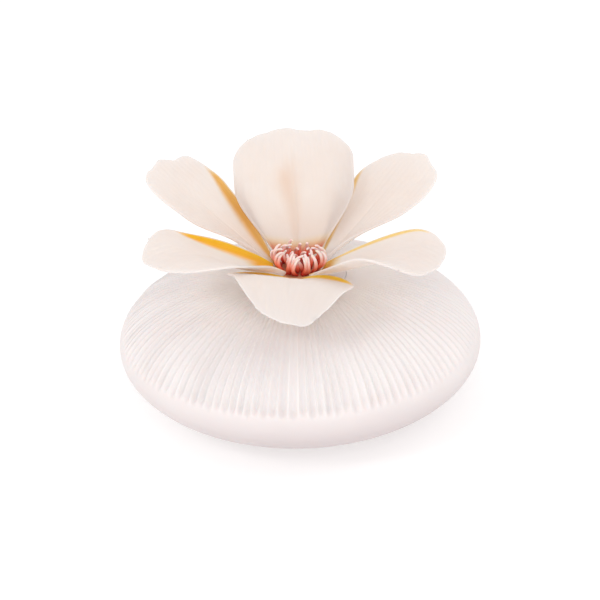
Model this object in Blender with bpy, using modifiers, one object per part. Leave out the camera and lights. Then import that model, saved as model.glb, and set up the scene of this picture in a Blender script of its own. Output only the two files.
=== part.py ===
"""Flower fragrance diffuser: a porcelain flower on the stopper of a low, round porcelain flask.

Metres, +Z up. The origin is on the table, under the axis of the flask, and -Y is the front.
Every height below is above the table. Touching pieces keep a small gap, GAP, between them.
"""

import math

import bmesh
import bpy
import numpy as np

COLLECTION = "flower_diffuser"
GAP = 0.0003

# The flask: an ellipsoid about its belly, cut flat at the foot and dished round the neck.
BELLY_HEIGHT = 0.025
VESSEL_RADIUS = 0.070
VESSEL_HALF_HEIGHT = 0.029
WALL = 0.0032
FOOT_HEIGHT = 0.0018
FOOT_EDGE_HEIGHT = 0.0024
FOOT_OUTER_RADIUS = 0.0426
FOOT_INNER_RADIUS = 0.0340
FOOT_RECESS = 0.0012
VESSEL_STEPS = 48
OUTER_POINTS = 16
INNER_POINTS = 11

# The neck: a collar that hangs inside the dome, and a recess that takes the stopper's flange.
BORE_RADIUS = 0.0130
COLLAR_RADIUS = 0.0164
COLLAR_BOTTOM = 0.0420
COLLAR_ROOT_RADIUS = 0.0210
SEAT_HEIGHT = 0.0512
RECESS_RADIUS = 0.0185
RECESS_EDGE_RADIUS = 0.0192
BEVEL = 0.0005

# Four soft pads under the foot ring.
PAD_COUNT = 4
PAD_RADIUS = 0.0036
PAD_CIRCLE_RADIUS = 0.0382
PAD_THICKNESS = FOOT_HEIGHT - GAP

# The stopper, its two seal rings, the wick and the sleeve that holds the wick.
PLUG_RADIUS = 0.0119
PLUG_BOTTOM = 0.0410
FLANGE_RADIUS = RECESS_RADIUS - GAP
FLANGE_BOTTOM = SEAT_HEIGHT + GAP
FLANGE_TOP = 0.0532
GROOVE_RADIUS = 0.0110
GROOVE_HALF_HEIGHT = 0.0012
SEAL_HEIGHTS = {"seal_ring_lower": 0.0444, "seal_ring_upper": 0.0486}
SEAL_MIDDLE_RADIUS = 0.0120
SEAL_THICK_RADIUS = 0.0007
SLEEVE_BORE_RADIUS = 0.0046
SOCKET_RADIUS = 0.0066
SOCKET_BOTTOM = 0.0480
SLEEVE_RADIUS = 0.0043
SLEEVE_INNER_RADIUS = 0.0033
SLEEVE_FLANGE_RADIUS = 0.0060
SLEEVE_FLANGE_THICKNESS = 0.0012
WICK_RADIUS = 0.0029
WICK_BOTTOM = 0.0072
WICK_TOP = 0.0508
TURNED_STEPS = 32

# The receptacle: a boss on a peg that turns in the stopper's socket.
PEG_RADIUS = 0.0062
PEG_BORE_RADIUS = 0.0036
PEG_BORE_TOP = 0.0515
BOSS_RADIUS = 0.0088
BOSS_TOP = 0.0552
CORE_RADIUS = 0.0028
CORE_TOP = 0.0585

# The stamens: curled strands in two rings. Each path is (distance from the axis, height) pairs.
STAMEN_THICK_RADIUS = 0.00066
STAMEN_TIP_SHARE = 0.62
STAMEN_BASE = BOSS_TOP + GAP
OUTER_STAMENS = 28
OUTER_PATH = (
    (0.0072, STAMEN_BASE),
    (0.0075, 0.0562),
    (0.0086, 0.0576),
    (0.0090, 0.0590),
    (0.0086, 0.0608),
    (0.0074, 0.0621),
    (0.0059, 0.0625),
)
INNER_STAMENS = 12
INNER_PATH = (
    (0.0044, STAMEN_BASE),
    (0.0045, 0.0561),
    (0.0049, 0.0573),
    (0.0048, 0.0585),
    (0.0042, 0.0594),
    (0.0036, 0.0598),
)

# The petals, as hand-formed slabs. PETAL_LENGTH and PETAL_HALF_WIDTH are those of the largest.
PETAL_LENGTH = 0.061
PETAL_HALF_WIDTH = 0.0235
PETAL_THICKNESS = 0.0013
PETAL_ROOT_RADIUS = 0.0098
OUTER_WHORL_HEIGHT = 0.0547
INNER_WHORL_HEIGHT = 0.0560
PETAL_ROWS = 14
PETAL_COLUMNS = 10
OVERRUN = 1.15
SPINE_STEPS = 240
LIFT_BY = 0.6
TAPER_POWER = 1.15
TIP_CUP_FROM = 0.62
LEAST_BEND = 1e-3
ROUNDING_FROM = 0.45
ROUNDING_POWER = 2.2
SKEW_FROM = 0.4
ROLL_BY = 0.7

# Waves in the tip's outline, each (radians from the middle to a margin, height, shift of phase), and
# ripples in its margins, which start at one place along it and are full at the other.
TIP_WAVES = ((5.3, 1.0, 1.0), (9.1, 0.6, 1.7), (23.0, 0.12, 1.0))
WAVES_FROM = 0.6
RIPPLE_HEIGHT = 0.0006
RIPPLES_ALONG = 7.0
RIPPLES_ACROSS = 2.0
RIPPLES_FROM, RIPPLES_FULL = 0.3, 0.8

# One petal's form. Angles are in degrees, and a place along the petal runs from 0 to 1.
#   azimuth  the way it points, from +X towards +Y
#   rise     the slope of its spine at the root; lift is added by LIFT_BY along it
#   droop    how far the spine bends down between bend_from and bend_to
#   length, width  shares of the largest petal's
#   root, full     where its width would be nothing, and where it reaches its full width
#   taper    how much narrower the tip is than the full width, from taper_from on
#   rounding how far the tip's sides fall back, and skew how far one side leads the other
#   round_from, squareness   where the tip's round outline starts, and how square it is (2 is an oval)
#   claw_cup, cup, tip_cup   half the angle that the cross-section bends through: at the root, past
#                  the claw, which has opened by open_by, and at the tip
#   roll     its turn about its own spine
#   wave     the height of the waves in its outline
#   phase    the phase of its waves
#   root_height    the height of its root: the petals sit in two whorls of three
DEFAULT_FORM = {
    "lift": 3.0, "bend_from": 0.50, "bend_to": 1.10, "roll": -2.0, "skew": 0.0, "claw_cup": 75.0,
    "open_by": 0.62, "taper_from": 0.72, "round_from": 0.66, "squareness": 2.6, "wave": 0.012,
    "root_height": OUTER_WHORL_HEIGHT,
}
PETALS = {
    "petal_back": {
        "azimuth": 91, "rise": 42, "droop": 27, "length": 0.91, "width": 1.00,
        "root": -0.36, "full": 0.48, "taper": 0.12, "rounding": 0.04, "claw_cup": 50.0,
        "cup": 24, "tip_cup": 6, "phase": 0.3, "root_height": INNER_WHORL_HEIGHT, "wave": 0.015,
        "round_from": 0.60, "squareness": 3.2,
    },
    "petal_back_left": {
        "azimuth": 156, "rise": 35.5, "droop": -3, "length": 0.96, "width": 0.86,
        "root": -0.15, "full": 0.80, "taper": 0.04, "rounding": 0.02,
        "cup": 10, "tip_cup": 1, "phase": 1.0, "roll": 2.0, "skew": 0.05, "wave": 0.014,
        "round_from": 0.70, "squareness": 4.0,
    },
    "petal_back_right": {
        "azimuth": 32, "rise": 33, "droop": -5, "length": 0.93, "width": 0.88,
        "root": -0.13, "full": 0.80, "taper": 0.03, "rounding": 0.03,
        "cup": 6, "tip_cup": -4, "phase": 2.0, "roll": -4.0, "skew": -0.04, "wave": 0.014,
        "round_from": 0.66, "squareness": 3.6,
    },
    "petal_left": {
        "azimuth": 213, "rise": 27, "droop": 47, "length": 0.96, "width": 0.95,
        "root": -0.32, "full": 0.74, "taper": 0.08, "rounding": 0.08, "claw_cup": 54.0,
        "cup": 15, "tip_cup": 10, "phase": 3.0, "bend_from": 0.46, "roll": 2.0, "wave": 0.010,
        "root_height": INNER_WHORL_HEIGHT, "round_from": 0.60,
    },
    "petal_right": {
        "azimuth": 326, "rise": 25.5, "droop": 47, "length": 0.90, "width": 0.93,
        "root": -0.34, "full": 0.66, "taper": 0.04, "rounding": 0.06, "claw_cup": 30.0,
        "open_by": 0.62, "cup": 24, "tip_cup": 12, "phase": 4.0, "bend_from": 0.50, "bend_to": 1.05,
        "lift": 0.0, "roll": -6.0, "root_height": INNER_WHORL_HEIGHT, "wave": 0.010, "round_from": 0.62,
    },
    "petal_front": {
        "azimuth": 265, "rise": 27.5, "droop": 75, "length": 0.90, "width": 1.00,
        "root": -0.06, "full": 0.48, "taper": 0.46, "rounding": 0.04, "taper_from": 0.44,
        "skew": 0.05,
        "claw_cup": 37.0, "open_by": 0.50, "cup": -8, "tip_cup": -12, "phase": 5.0,
        "bend_from": 0.40, "bend_to": 1.00, "roll": -7.0, "wave": 0.006, "round_from": 0.74,
    },
}

PORCELAIN = ((0.86, 0.80, 0.77), 0.45)
PETAL_BISQUE = ((0.87, 0.79, 0.72), 0.50)
CORAL = ((0.78, 0.26, 0.20), 0.50)
DARK_RED = ((0.35, 0.05, 0.04), 0.55)
RUBBER = ((0.72, 0.72, 0.70), 0.60)
FELT = ((0.62, 0.60, 0.57), 0.95)
COTTON = ((0.86, 0.83, 0.76), 0.90)
PLASTIC = ((0.80, 0.80, 0.78), 0.40)


def clear_scene():
    """Removes everything that the scene holds."""
    for obj in list(bpy.data.objects):
        bpy.data.objects.remove(obj, do_unlink=True)


def make_collection(name):
    collection = bpy.data.collections.new(name)
    bpy.context.scene.collection.children.link(collection)
    return collection


def make_material(name, look):
    """A plain Principled BSDF material of the piece's own, from a (colour, roughness) pair."""
    colour, roughness = look
    material = bpy.data.materials.new(name)
    material.use_nodes = True
    shader = material.node_tree.nodes["Principled BSDF"]
    shader.inputs["Base Color"].default_value = (*colour, 1.0)
    shader.inputs["Roughness"].default_value = roughness
    shader.inputs["Metallic"].default_value = 0.0
    material.diffuse_color = (*colour, 1.0)
    return material


def add_object(name, data, look, collection, pivot=None):
    """Puts mesh or curve data in the collection as the named piece, riding on the pivot if given."""
    obj = bpy.data.objects.new(name, data)
    data.materials.append(make_material(name, look))
    collection.objects.link(obj)
    if pivot:
        obj.parent = pivot
        obj.matrix_parent_inverse = pivot.matrix_world.inverted()
    return obj


def make_pivot(name, height, collection, parent=None):
    """An empty on the vertical axis that a moving body hangs from."""
    pivot = bpy.data.objects.new(name, None)
    pivot.empty_display_size = BORE_RADIUS
    collection.objects.link(pivot)
    pivot.location.z = height
    if parent:
        pivot.parent = parent
        pivot.location.z = height - parent.location.z
    bpy.context.view_layer.update()
    return pivot


def shade_round(mesh):
    mesh.shade_smooth()
    mesh.set_sharp_from_angle(angle=math.radians(35))


def turned(name, profile, steps, look, collection, pivot=None):
    """A body of revolution about the Z axis. The profile runs down the outer side."""
    mesh = bpy.data.meshes.new(name)
    points = [(radius, 0.0, height) for radius, height in profile]
    edges = [(index, index + 1) for index in range(len(points) - 1)]
    if profile[0][0] > 0.0:
        edges.append((len(points) - 1, 0))
    mesh.from_pydata(points, edges, [])
    obj = add_object(name, mesh, look, collection, pivot)
    screw = obj.modifiers.new("Screw", "SCREW")
    screw.axis = "Z"
    screw.steps = steps
    screw.render_steps = steps
    screw.use_merge_vertices = True
    screw.merge_threshold = 1e-5
    screw.use_smooth_shade = True
    return obj


def ellipse_arc(radius, half_height, start, end, count):
    """Points round the belly's centre, from one angle above its plane to another."""
    angles = np.linspace(start, end, count)
    return [
        (radius * math.cos(angle), BELLY_HEIGHT + half_height * math.sin(angle))
        for angle in angles
    ]


def build_vessel(collection):
    """The flask: its floor, inner wall, hanging collar, bore, seat, dome, belly and foot ring."""
    inner_radius = VESSEL_RADIUS - WALL
    inner_half_height = VESSEL_HALF_HEIGHT - WALL
    recess_ceiling = FOOT_HEIGHT + FOOT_RECESS
    floor = recess_ceiling + WALL
    floor_angle = math.asin((floor - BELLY_HEIGHT) / inner_half_height)
    root_angle = math.acos(COLLAR_ROOT_RADIUS / inner_radius)
    dome_angle = math.acos(RECESS_EDGE_RADIUS / VESSEL_RADIUS)
    foot_angle = math.asin((FOOT_EDGE_HEIGHT - BELLY_HEIGHT) / VESSEL_HALF_HEIGHT)
    collar_blend = COLLAR_BOTTOM + 0.005
    profile = [(0.0, floor)]
    profile += ellipse_arc(inner_radius, inner_half_height, floor_angle, root_angle, INNER_POINTS)
    profile += [
        (COLLAR_RADIUS + 2 * BEVEL, collar_blend),
        (COLLAR_RADIUS, collar_blend - 2 * BEVEL),
        (COLLAR_RADIUS, COLLAR_BOTTOM + BEVEL),
        (COLLAR_RADIUS - BEVEL, COLLAR_BOTTOM),
        (BORE_RADIUS + BEVEL, COLLAR_BOTTOM),
        (BORE_RADIUS, COLLAR_BOTTOM + BEVEL),
        (BORE_RADIUS, SEAT_HEIGHT - BEVEL),
        (BORE_RADIUS + BEVEL, SEAT_HEIGHT),
        (RECESS_RADIUS - BEVEL, SEAT_HEIGHT),
        (RECESS_RADIUS, SEAT_HEIGHT + BEVEL),
        (RECESS_RADIUS, SEAT_HEIGHT + 2 * BEVEL),
    ]
    profile += ellipse_arc(VESSEL_RADIUS, VESSEL_HALF_HEIGHT, dome_angle, foot_angle, OUTER_POINTS)
    profile += [
        (FOOT_OUTER_RADIUS, FOOT_HEIGHT),
        (FOOT_INNER_RADIUS, FOOT_HEIGHT),
        (FOOT_INNER_RADIUS - FOOT_RECESS, recess_ceiling),
        (0.0, recess_ceiling),
    ]
    turned("vessel", profile, VESSEL_STEPS, PORCELAIN, collection)


def build_pads(collection):
    """Soft round pads under the foot ring."""
    for index in range(PAD_COUNT):
        angle = math.tau * (index + 0.5) / PAD_COUNT
        mesh = bpy.data.meshes.new("foot_pad")
        shape = bmesh.new()
        bmesh.ops.create_cone(
            shape, cap_ends=True, segments=24,
            radius1=PAD_RADIUS, radius2=PAD_RADIUS, depth=PAD_THICKNESS,
        )
        shape.to_mesh(mesh)
        shape.free()
        pad = add_object(f"foot_pad_{index + 1}", mesh, FELT, collection)
        pad.location = (
            PAD_CIRCLE_RADIUS * math.cos(angle),
            PAD_CIRCLE_RADIUS * math.sin(angle),
            PAD_THICKNESS / 2,
        )
        shade_round(mesh)


def groove(height):
    """The profile of one seal groove in the plug, from its upper edge to its lower edge."""
    top = height + GROOVE_HALF_HEIGHT
    bottom = height - GROOVE_HALF_HEIGHT
    return [
        (PLUG_RADIUS, top),
        (GROOVE_RADIUS, top),
        (GROOVE_RADIUS, bottom),
        (PLUG_RADIUS, bottom),
    ]


def build_stopper(collection, pivot):
    """The plug and its flange, bored for the sleeve below and for the flower's peg above."""
    profile = [
        (SOCKET_RADIUS, FLANGE_TOP - BEVEL),
        (SOCKET_RADIUS + BEVEL, FLANGE_TOP),
        (FLANGE_RADIUS - 2 * BEVEL, FLANGE_TOP),
        (FLANGE_RADIUS, FLANGE_TOP - 2 * BEVEL),
        (FLANGE_RADIUS, FLANGE_BOTTOM + BEVEL),
        (FLANGE_RADIUS - BEVEL, FLANGE_BOTTOM),
        (PLUG_RADIUS, FLANGE_BOTTOM),
    ]
    profile += groove(SEAL_HEIGHTS["seal_ring_upper"])
    profile += groove(SEAL_HEIGHTS["seal_ring_lower"])
    profile += [
        (PLUG_RADIUS, PLUG_BOTTOM + BEVEL),
        (PLUG_RADIUS - BEVEL, PLUG_BOTTOM),
        (SLEEVE_BORE_RADIUS, PLUG_BOTTOM),
        (SLEEVE_BORE_RADIUS, SOCKET_BOTTOM),
        (SOCKET_RADIUS, SOCKET_BOTTOM),
    ]
    turned("stopper", profile, TURNED_STEPS, PORCELAIN, collection, pivot)


def build_seals(collection, pivot):
    """Two soft rings in the plug's grooves."""
    for name, height in SEAL_HEIGHTS.items():
        bpy.ops.mesh.primitive_torus_add(
            major_radius=SEAL_MIDDLE_RADIUS, minor_radius=SEAL_THICK_RADIUS,
            major_segments=36, minor_segments=8,
        )
        made = bpy.context.object
        mesh = made.data
        bpy.data.objects.remove(made)
        ring = add_object(name, mesh, RUBBER, collection, pivot)
        ring.location.z = height
        mesh.shade_smooth()


def build_sleeve(collection, pivot):
    """The tube that holds the wick in the plug, with a flange under the plug."""
    flange_top = PLUG_BOTTOM - GAP
    flange_bottom = flange_top - SLEEVE_FLANGE_THICKNESS
    profile = [
        (SLEEVE_INNER_RADIUS, SOCKET_BOTTOM - GAP),
        (SLEEVE_RADIUS, SOCKET_BOTTOM - GAP),
        (SLEEVE_RADIUS, flange_top),
        (SLEEVE_FLANGE_RADIUS, flange_top),
        (SLEEVE_FLANGE_RADIUS, flange_bottom),
        (SLEEVE_INNER_RADIUS, flange_bottom),
    ]
    turned("wick_sleeve", profile, TURNED_STEPS, PLASTIC, collection, pivot)


def build_wick(collection, pivot):
    """The cotton rod, from just above the flask's floor up into the flower's peg."""
    profile = [
        (0.0, WICK_TOP),
        (WICK_RADIUS - BEVEL, WICK_TOP),
        (WICK_RADIUS, WICK_TOP - BEVEL),
        (WICK_RADIUS, WICK_BOTTOM + BEVEL),
        (WICK_RADIUS - BEVEL, WICK_BOTTOM),
        (0.0, WICK_BOTTOM),
    ]
    turned("wick", profile, TURNED_STEPS // 2, COTTON, collection, pivot)


def build_receptacle(collection, pivot):
    """The boss that petals and stamens stand on, with a hollow peg that takes the wick's top."""
    boss_bottom = FLANGE_TOP + GAP
    peg_bottom = SOCKET_BOTTOM + GAP
    profile = [
        (0.0, BOSS_TOP),
        (BOSS_RADIUS - 2 * BEVEL, BOSS_TOP),
        (BOSS_RADIUS, BOSS_TOP - 2 * BEVEL),
        (BOSS_RADIUS, boss_bottom + BEVEL),
        (BOSS_RADIUS - BEVEL, boss_bottom),
        (PEG_RADIUS, boss_bottom),
        (PEG_RADIUS, peg_bottom + BEVEL),
        (PEG_RADIUS - BEVEL, peg_bottom),
        (PEG_BORE_RADIUS, peg_bottom),
        (PEG_BORE_RADIUS, PEG_BORE_TOP),
        (0.0, PEG_BORE_TOP),
    ]
    turned("receptacle", profile, TURNED_STEPS, PETAL_BISQUE, collection, pivot)


def build_core(collection, pivot):
    """The small domed core that the stamens stand round."""
    bottom = BOSS_TOP + GAP
    height = CORE_TOP - bottom
    angles = np.linspace(math.pi / 2, 0.0, 7)
    profile = [
        (CORE_RADIUS * math.cos(angle), bottom + height * math.sin(angle)) for angle in angles
    ]
    profile[0] = (0.0, CORE_TOP)
    profile.append((0.0, bottom))
    turned("pistil_core", profile, TURNED_STEPS // 2, DARK_RED, collection, pivot)


def build_stamen(name, path, azimuth, collection, pivot):
    """One curled strand: a tapering tube along the path, standing at the azimuth."""
    curve = bpy.data.curves.new(name, "CURVE")
    curve.dimensions = "3D"
    curve.bevel_depth = STAMEN_THICK_RADIUS
    curve.bevel_resolution = 1
    curve.use_fill_caps = True
    spline = curve.splines.new("POLY")
    spline.points.add(len(path) - 1)
    last = len(path) - 1
    for index, (radius, height) in enumerate(path):
        point = spline.points[index]
        point.co = (radius * math.cos(azimuth), radius * math.sin(azimuth), height, 1.0)
        point.radius = 1.0 - (1.0 - STAMEN_TIP_SHARE) * index / last
    add_object(name, curve, CORAL, collection, pivot)


def build_stamen_ring(kind, count, path, collection, pivot):
    for index in range(count):
        azimuth = math.tau * (index + 0.5) / count
        build_stamen(f"stamen_{kind}_{index + 1:02d}", path, azimuth, collection, pivot)


def smoothstep(value, low, high):
    """0 below low and 1 above high, with a smooth rise between them."""
    share = np.clip((value - low) / (high - low), 0.0, 1.0)
    return share * share * (3.0 - 2.0 * share)


def petal_spine(form):
    """Places along the petal, with the spine's slope, distance from the axis and height there."""
    places = np.linspace(0.0, OVERRUN, SPINE_STEPS)
    slope = np.radians(
        form["rise"]
        + form["lift"] * smoothstep(places, 0.0, LIFT_BY)
        - form["droop"] * smoothstep(places, form["bend_from"], form["bend_to"])
    )
    step = PETAL_LENGTH * form["length"] * places[1]
    outwards = PETAL_ROOT_RADIUS + np.concatenate([[0.0], np.cumsum(np.cos(slope[:-1])) * step])
    upwards = form["root_height"] + np.concatenate([[0.0], np.cumsum(np.sin(slope[:-1])) * step])
    return places, slope, outwards, upwards


def petal_width(form, along):
    """Half the petal's width, measured round its curved cross-section."""
    growth = smoothstep(along, form["root"], form["full"])
    past = np.clip((along - form["taper_from"]) / (1.0 - form["taper_from"]), 0.0, 1.0)
    return PETAL_HALF_WIDTH * form["width"] * growth * (1.0 - form["taper"] * past**TAPER_POWER)


def petal_bend(form, along):
    """Half the angle that the cross-section bends through: a deep channel at the claw."""
    past_claw = smoothstep(along, 0.0, form["open_by"])
    near_tip = smoothstep(along, TIP_CUP_FROM, 1.0)
    middle = form["cup"] * (1.0 - near_tip) + form["tip_cup"] * near_tip
    bend = np.radians(form["claw_cup"] * (1.0 - past_claw) + middle * past_claw)
    return np.where(np.abs(bend) < LEAST_BEND, LEAST_BEND, bend)


def round_tip(form, along, across):
    """Draws the far corners of the petal in, so that the outline of its tip is round."""
    start = form["round_from"]
    past = np.clip((along - start) / (1.0 - start), 0.0, 1.0)
    side = np.abs(across)
    share = np.minimum(past, side) / np.maximum(np.maximum(past, side), 1e-9)
    shrink = (1.0 + share ** form["squareness"]) ** (-1.0 / form["squareness"])
    return np.minimum(along, start) + past * shrink * (1.0 - start), across * shrink


def petal_points(form, along, across):
    """Where a petal's upper face lies, for places along it (0 to 1) and across it (-1 to 1)."""
    phase = form["phase"]
    along, across = round_tip(form, along, across)
    half_width = petal_width(form, along)
    bend = petal_bend(form, along)
    sideways = half_width * np.sin(across * bend) / bend
    raised = half_width * (1.0 - np.cos(across * bend)) / bend
    ripples = np.sin(RIPPLES_ALONG * along + RIPPLES_ACROSS * across + phase) * across**2
    raised += RIPPLE_HEIGHT * ripples * smoothstep(along, RIPPLES_FROM, RIPPLES_FULL)
    waves = sum(height * np.sin(rate * across + shift * phase) for rate, height, shift in TIP_WAVES)
    fall = form["rounding"] * np.abs(across) ** ROUNDING_POWER
    reach = along - fall * smoothstep(along, ROUNDING_FROM, 1.0)
    reach += form["wave"] * waves * smoothstep(along, WAVES_FROM, 1.0)
    reach += form["skew"] * across * smoothstep(along, SKEW_FROM, 1.0)
    roll = math.radians(form["roll"]) * smoothstep(along, 0.0, ROLL_BY)
    sideways, raised = (
        sideways * np.cos(roll) - raised * np.sin(roll),
        sideways * np.sin(roll) + raised * np.cos(roll),
    )
    places, slopes, outwards, upwards = petal_spine(form)
    slope = np.interp(reach, places, slopes)
    radius = np.interp(reach, places, outwards) - np.sin(slope) * raised
    height = np.interp(reach, places, upwards) + np.cos(slope) * raised
    azimuth = math.radians(form["azimuth"])
    x = radius * math.cos(azimuth) - sideways * math.sin(azimuth)
    y = radius * math.sin(azimuth) + sideways * math.cos(azimuth)
    return np.stack([x, y, height], axis=-1)


def build_petal(name, form, collection, pivot):
    """A grid bent to the petal's upper face, thickened on its underside."""
    mesh = bpy.data.meshes.new(name)
    shape = bmesh.new()
    bmesh.ops.create_grid(shape, x_segments=PETAL_ROWS, y_segments=PETAL_COLUMNS, size=1.0)
    for vert in shape.verts:
        along = np.float64((vert.co.x + 1.0) / 2.0)
        vert.co = petal_points(form, along, np.float64(vert.co.y))
    shape.to_mesh(mesh)
    shape.free()
    petal = add_object(name, mesh, PETAL_BISQUE, collection, pivot)
    solidify = petal.modifiers.new("Solidify", "SOLIDIFY")
    solidify.thickness = PETAL_THICKNESS
    solidify.offset = -1.0
    solidify.use_even_offset = True
    shade_round(mesh)


def build_petals(collection, pivot):
    for name, own in PETALS.items():
        build_petal(name, {**DEFAULT_FORM, **own}, collection, pivot)


def main():
    clear_scene()
    collection = make_collection(COLLECTION)
    lift = make_pivot("stopper_lift_pivot", SEAT_HEIGHT, collection)
    turn = make_pivot("flower_turn_pivot", FLANGE_TOP, collection, lift)
    build_vessel(collection)
    build_pads(collection)
    build_stopper(collection, lift)
    build_seals(collection, lift)
    build_sleeve(collection, lift)
    build_wick(collection, lift)
    build_receptacle(collection, turn)
    build_core(collection, turn)
    build_stamen_ring("outer", OUTER_STAMENS, OUTER_PATH, collection, turn)
    build_stamen_ring("inner", INNER_STAMENS, INNER_PATH, collection, turn)
    build_petals(collection, turn)


main()
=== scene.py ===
"""The looks of the flower diffuser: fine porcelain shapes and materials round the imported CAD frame.

Metres, +Z up, -Y is the front, as in the CAD. Every piece rides on a CAD body and stands for the
nodes that it replaces. The petal formula is the CAD's own, with folds and veins added.
"""

import math

import bmesh
import bpy
import numpy as np
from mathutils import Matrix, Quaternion, Vector


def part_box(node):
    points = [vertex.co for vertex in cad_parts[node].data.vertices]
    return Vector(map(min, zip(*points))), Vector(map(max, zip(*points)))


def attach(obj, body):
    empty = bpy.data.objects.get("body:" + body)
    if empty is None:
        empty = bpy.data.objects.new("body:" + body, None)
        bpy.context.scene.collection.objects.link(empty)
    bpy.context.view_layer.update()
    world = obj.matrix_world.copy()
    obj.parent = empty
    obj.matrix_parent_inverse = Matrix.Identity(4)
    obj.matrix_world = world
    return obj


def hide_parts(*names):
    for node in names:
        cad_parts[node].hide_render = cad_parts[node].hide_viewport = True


TINY = 1e-12

# The flask, as in the CAD: an ellipsoid about its belly, with a hanging collar round the bore.
BELLY_HEIGHT = 0.025
VESSEL_RADIUS = 0.070
VESSEL_HALF_HEIGHT = 0.029
WALL = 0.0032
FOOT_HEIGHT = 0.0018
FOOT_EDGE_HEIGHT = 0.0024
FOOT_OUTER_RADIUS = 0.0426
FOOT_INNER_RADIUS = 0.0340
FOOT_RECESS = 0.0012
BORE_RADIUS = 0.0130
COLLAR_RADIUS = 0.0164
COLLAR_BOTTOM = 0.0420
COLLAR_ROOT_RADIUS = 0.0210
COLLAR_STRAIGHT = 0.005
SEAT_HEIGHT = 0.0512
RECESS_RADIUS = 0.0185
RECESS_EDGE_RADIUS = 0.0192
INSIDE_ROWS = 12

# How far corners are rounded, which is at most this share of the edges beside them.
EDGE_ROUNDING = 0.00025
MOST_OF_EDGE = 0.45

# The rows of points up the skin. It starts and ends this far, in radians, from the neck's and the foot's
# edge, and the neck's profile runs NECK_RUN on to it. Then where its bands start or end, in degrees
# above the belly, and how many rows each has.
SKIN_FROM_NECK = 0.035
SKIN_FROM_FOOT = 0.03
NECK_RUN = 0.02
DOME_ROWS_TO, DOME_ROWS = 26.0, 22
FLUTE_END_ROWS_FROM, FLUTE_END_ROWS = 25.0, 30
LOW_ROWS_FROM, LOW_ROWS = -3.0, 14

# The flutes: shallow grooves with narrow ridges between them, from the neck to just above the belly.
# They are shallower towards the neck, and start over the stretch FLUTE_STARTS beyond its recess.
FLUTES = 130
COLUMNS_PER_FLUTE = 7
FLUTE_DEPTH = 0.0016
FLUTE_FULL_RADIUS = 0.064
FLUTE_FADE_POWER = 2.2
FLUTE_STARTS = (0.0005, 0.008)

# They are cut deepest on one side: its azimuth in degrees, the mean share of the depth, and how much
# that varies round the flask.
FLUTE_DEEPEST = 230.0
FLUTE_MEAN = 0.78
FLUTE_VARIES = 0.52

# Where they end above the belly, and over what length: crisply on one side, and FLUTE_END_FADES times
# longer again opposite it. At its two ridges a flute ends FLUTE_END_ROUNDING higher.
FLUTE_END_HEIGHT = 0.0020
FLUTE_END_LENGTH = 0.0036
FLUTE_END_ROUNDING = 0.0018
FLUTE_END_CRISPEST = 255.0
FLUTE_END_FADES = 4.0

# Cut by hand, they are uneven. Each wave is (rate, height, phase): the spacing's run round the flask, in
# shares of a flute, and those of the depth and the ends run from flute to flute.
SPACING_WAVES = ((7, 0.14, 1.0), (11, 0.112, 2.6), (17, 0.098, 0.0))
DEPTH_WAVES = ((2.4, 0.10, 0.0), (5.1, 0.08, 1.0))
END_WAVES = ((3.7, 0.25, 0.5),)

# The body is painted darker and pinker below the belly, most of all on one side: painted shade. It is
# painted paler and warmer round the neck: painted light against the shade under the petals.
UNDERSIDE_SHADE_HEIGHTS = (0.012, 0.035)
UNDERSIDE_SHADE_SIDE = -40.0
UNDERSIDE_SHADE_MEAN = 0.75
UNDERSIDE_SHADE_VARIES = 0.45
NECK_PAINTED_LIGHT_RADII = (0.022, 0.052)

# The pads, and the stopper with its seals, sleeve and wick, as in the CAD.
GAP = 0.0003
FLANGE_GAP = 0.0001
PAD_COUNT = 4
PAD_ROUNDING = 0.0005
PAD_SIDES = 40
PLUG_RADIUS = 0.0119
GROOVE_RADIUS = 0.0110
GROOVE_HALF_HEIGHT = 0.0012
GROOVE_HEIGHTS = (0.0486, 0.0444)
SOCKET_RADIUS = 0.0066
SOCKET_BOTTOM = 0.0480
SEAL_SIDES = 16
SLEEVE_BORE_RADIUS = 0.0046
SLEEVE_RADIUS = 0.0043
SLEEVE_INNER_RADIUS = 0.0033
SLEEVE_FLANGE_THICKNESS = 0.0012
SLEEVE_ROUNDING = 0.0003

# The wick: a rope whose strands each go once round it in WICK_TWIST times their number.
WICK_STRANDS = 3
WICK_TWIST = 0.0042
WICK_GROOVE = 0.20
WICK_GROOVE_POWER = 1.5
WICK_ENDS = (-0.0004, 0.0010)
WICK_ROWS = 200
WICK_SIDES = 48

# The receptacle: its peg, and how far inside its rim and below its top the red is full and starts.
PEG_RADIUS = 0.0062
PEG_BORE_RADIUS = 0.0036
PEG_BORE_TOP = 0.0515
RED_INSET = 0.0006
RED_DEPTH = 0.0004

# The core: how high its pebbles stand, as a share of its radius, and how many in a full turn (round it,
# up and over it).
PEBBLE_HEIGHT = 0.05
PEBBLES = (9, 14)
CORE_ROWS = 24
CORE_SIDES = 64

# The petals. Each has its own share of PETAL_LENGTH and PETAL_HALF_WIDTH. Places along it go from 0 at
# its root to 1, and its spine goes on to OVERRUN for the waves in its tip.
PETAL_LENGTH = 0.061
PETAL_HALF_WIDTH = 0.0235
PETAL_THICKNESS = 0.0013
PETAL_ROOT_RADIUS = 0.0098
OUTER_WHORL_HEIGHT = 0.0547
INNER_WHORL_HEIGHT = 0.0560
PETAL_ROWS = 96
PETAL_COLUMNS = 64
RIM_STEPS = 5
OVERRUN = 1.15
SPINE_STEPS = 240
LIFT_BY = 0.6
TAPER_POWER = 1.15
TIP_CUP_FROM = 0.62
LEAST_BEND = 1e-3
ROUNDING_FROM = 0.45
ROUNDING_POWER = 2.2
SKEW_FROM = 0.4
ROLL_BY = 0.7

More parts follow.
